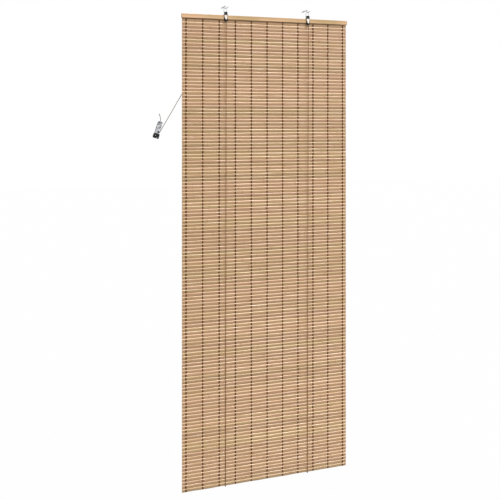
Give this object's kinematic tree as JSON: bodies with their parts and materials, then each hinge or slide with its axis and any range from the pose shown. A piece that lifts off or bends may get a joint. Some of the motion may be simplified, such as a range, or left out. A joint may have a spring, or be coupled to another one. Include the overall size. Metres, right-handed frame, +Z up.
{
  "type": "bamboo roll-up blind",
  "caption": "Hanging blind of woven bamboo slats under a wooden rail, on wall hooks, rolled up by cords over pulleys and held by a cord lock.",
  "frame": {"origin": "on the wall plane, midway between the shanks of the two wall hooks", "axes": "+X right along the rail seen from the front, +Y into the wall along the hook shanks, +Z up"},
  "size_m": [0.6955, 0.0648, 1.637],
  "materials": {
    "bamboo_slats": "split bamboo, matt",
    "rail_wood": "planed bamboo, satin",
    "warp_thread": "twisted thread",
    "lift_cord": "braided cord",
    "pull_cord": "braided cord",
    "zinc_steel": "zinc plated",
    "dark_steel": "blued",
    "black_nylon": "moulded, matt"
  },
  "bodies": {
    "blind": {"rail_front_batten": "rail_wood", "rail_back_batten": "rail_wood", "rail_pins": "dark_steel", "woven_mat": "bamboo_slats", "strap_screws": "dark_steel", "cord_knot": "pull_cord", "pull_cord": "pull_cord", "tail_knot": "pull_cord", "lock_back_plate": "zinc_steel", "lock_front_plate": "zinc_steel", "lock_shoe": "black_nylon", "lock_roller_axle": "dark_steel", "lock_cam_pin": "dark_steel", "lock_rivets": "dark_steel", "warp_thread_1": "warp_thread", "warp_thread_2": "warp_thread", "warp_thread_3": "warp_thread", "warp_thread_4": "warp_thread", "warp_thread_5": "warp_thread", "warp_thread_6": "warp_thread", "warp_thread_7": "warp_thread", "warp_thread_8": "warp_thread", "warp_thread_9": "warp_thread", "warp_thread_10": "warp_thread", "warp_thread_11": "warp_thread", "hanger_strap_left": "zinc_steel", "pulley_housing_left": "black_nylon", "cord_guard_left": "zinc_steel", "sheave_axle_left": "zinc_steel", "bail_left": "zinc_steel", "hook_left": "zinc_steel", "lift_cord_left": "lift_cord", "hanger_strap_right": "zinc_steel", "pulley_housing_right": "black_nylon", "cord_guard_right": "zinc_steel", "sheave_axle_right": "zinc_steel", "bail_right": "zinc_steel", "hook_right": "zinc_steel", "lift_cord_right": "lift_cord"},
    "left_sheave": {"sheave_left": "black_nylon"},
    "right_sheave": {"sheave_right": "black_nylon"},
    "roller": {"lock_roller": "black_nylon"},
    "cam": {"lock_cam": "dark_steel"}
  },
  "joints": [
    {"name": "left_sheave_spin", "type": "hinge", "parent": "blind", "child": "left_sheave", "pos_m": [-0.15, -0.0339, -0.0259], "axis": [1, 0, 0], "continuous": true},
    {"name": "right_sheave_spin", "type": "hinge", "parent": "blind", "child": "right_sheave", "pos_m": [0.15, -0.0339, -0.0259], "axis": [1, 0, 0], "continuous": true},
    {"name": "roller_spin", "type": "hinge", "parent": "blind", "child": "roller", "pos_m": [-0.37583, -0.006, -0.42724], "axis": [0, 1, 0], "continuous": true},
    {"name": "cam_pivot", "type": "hinge", "parent": "blind", "child": "cam", "pos_m": [-0.37053, -0.006, -0.41319], "axis": [0, 1, 0], "range_deg": [0, 35]}
  ],
  "couplings": [
    {"joint": "left_sheave_spin", "follows": "roller_spin", "ratio": -1.3235},
    {"joint": "right_sheave_spin", "follows": "roller_spin", "ratio": -1.3235}
  ]
}
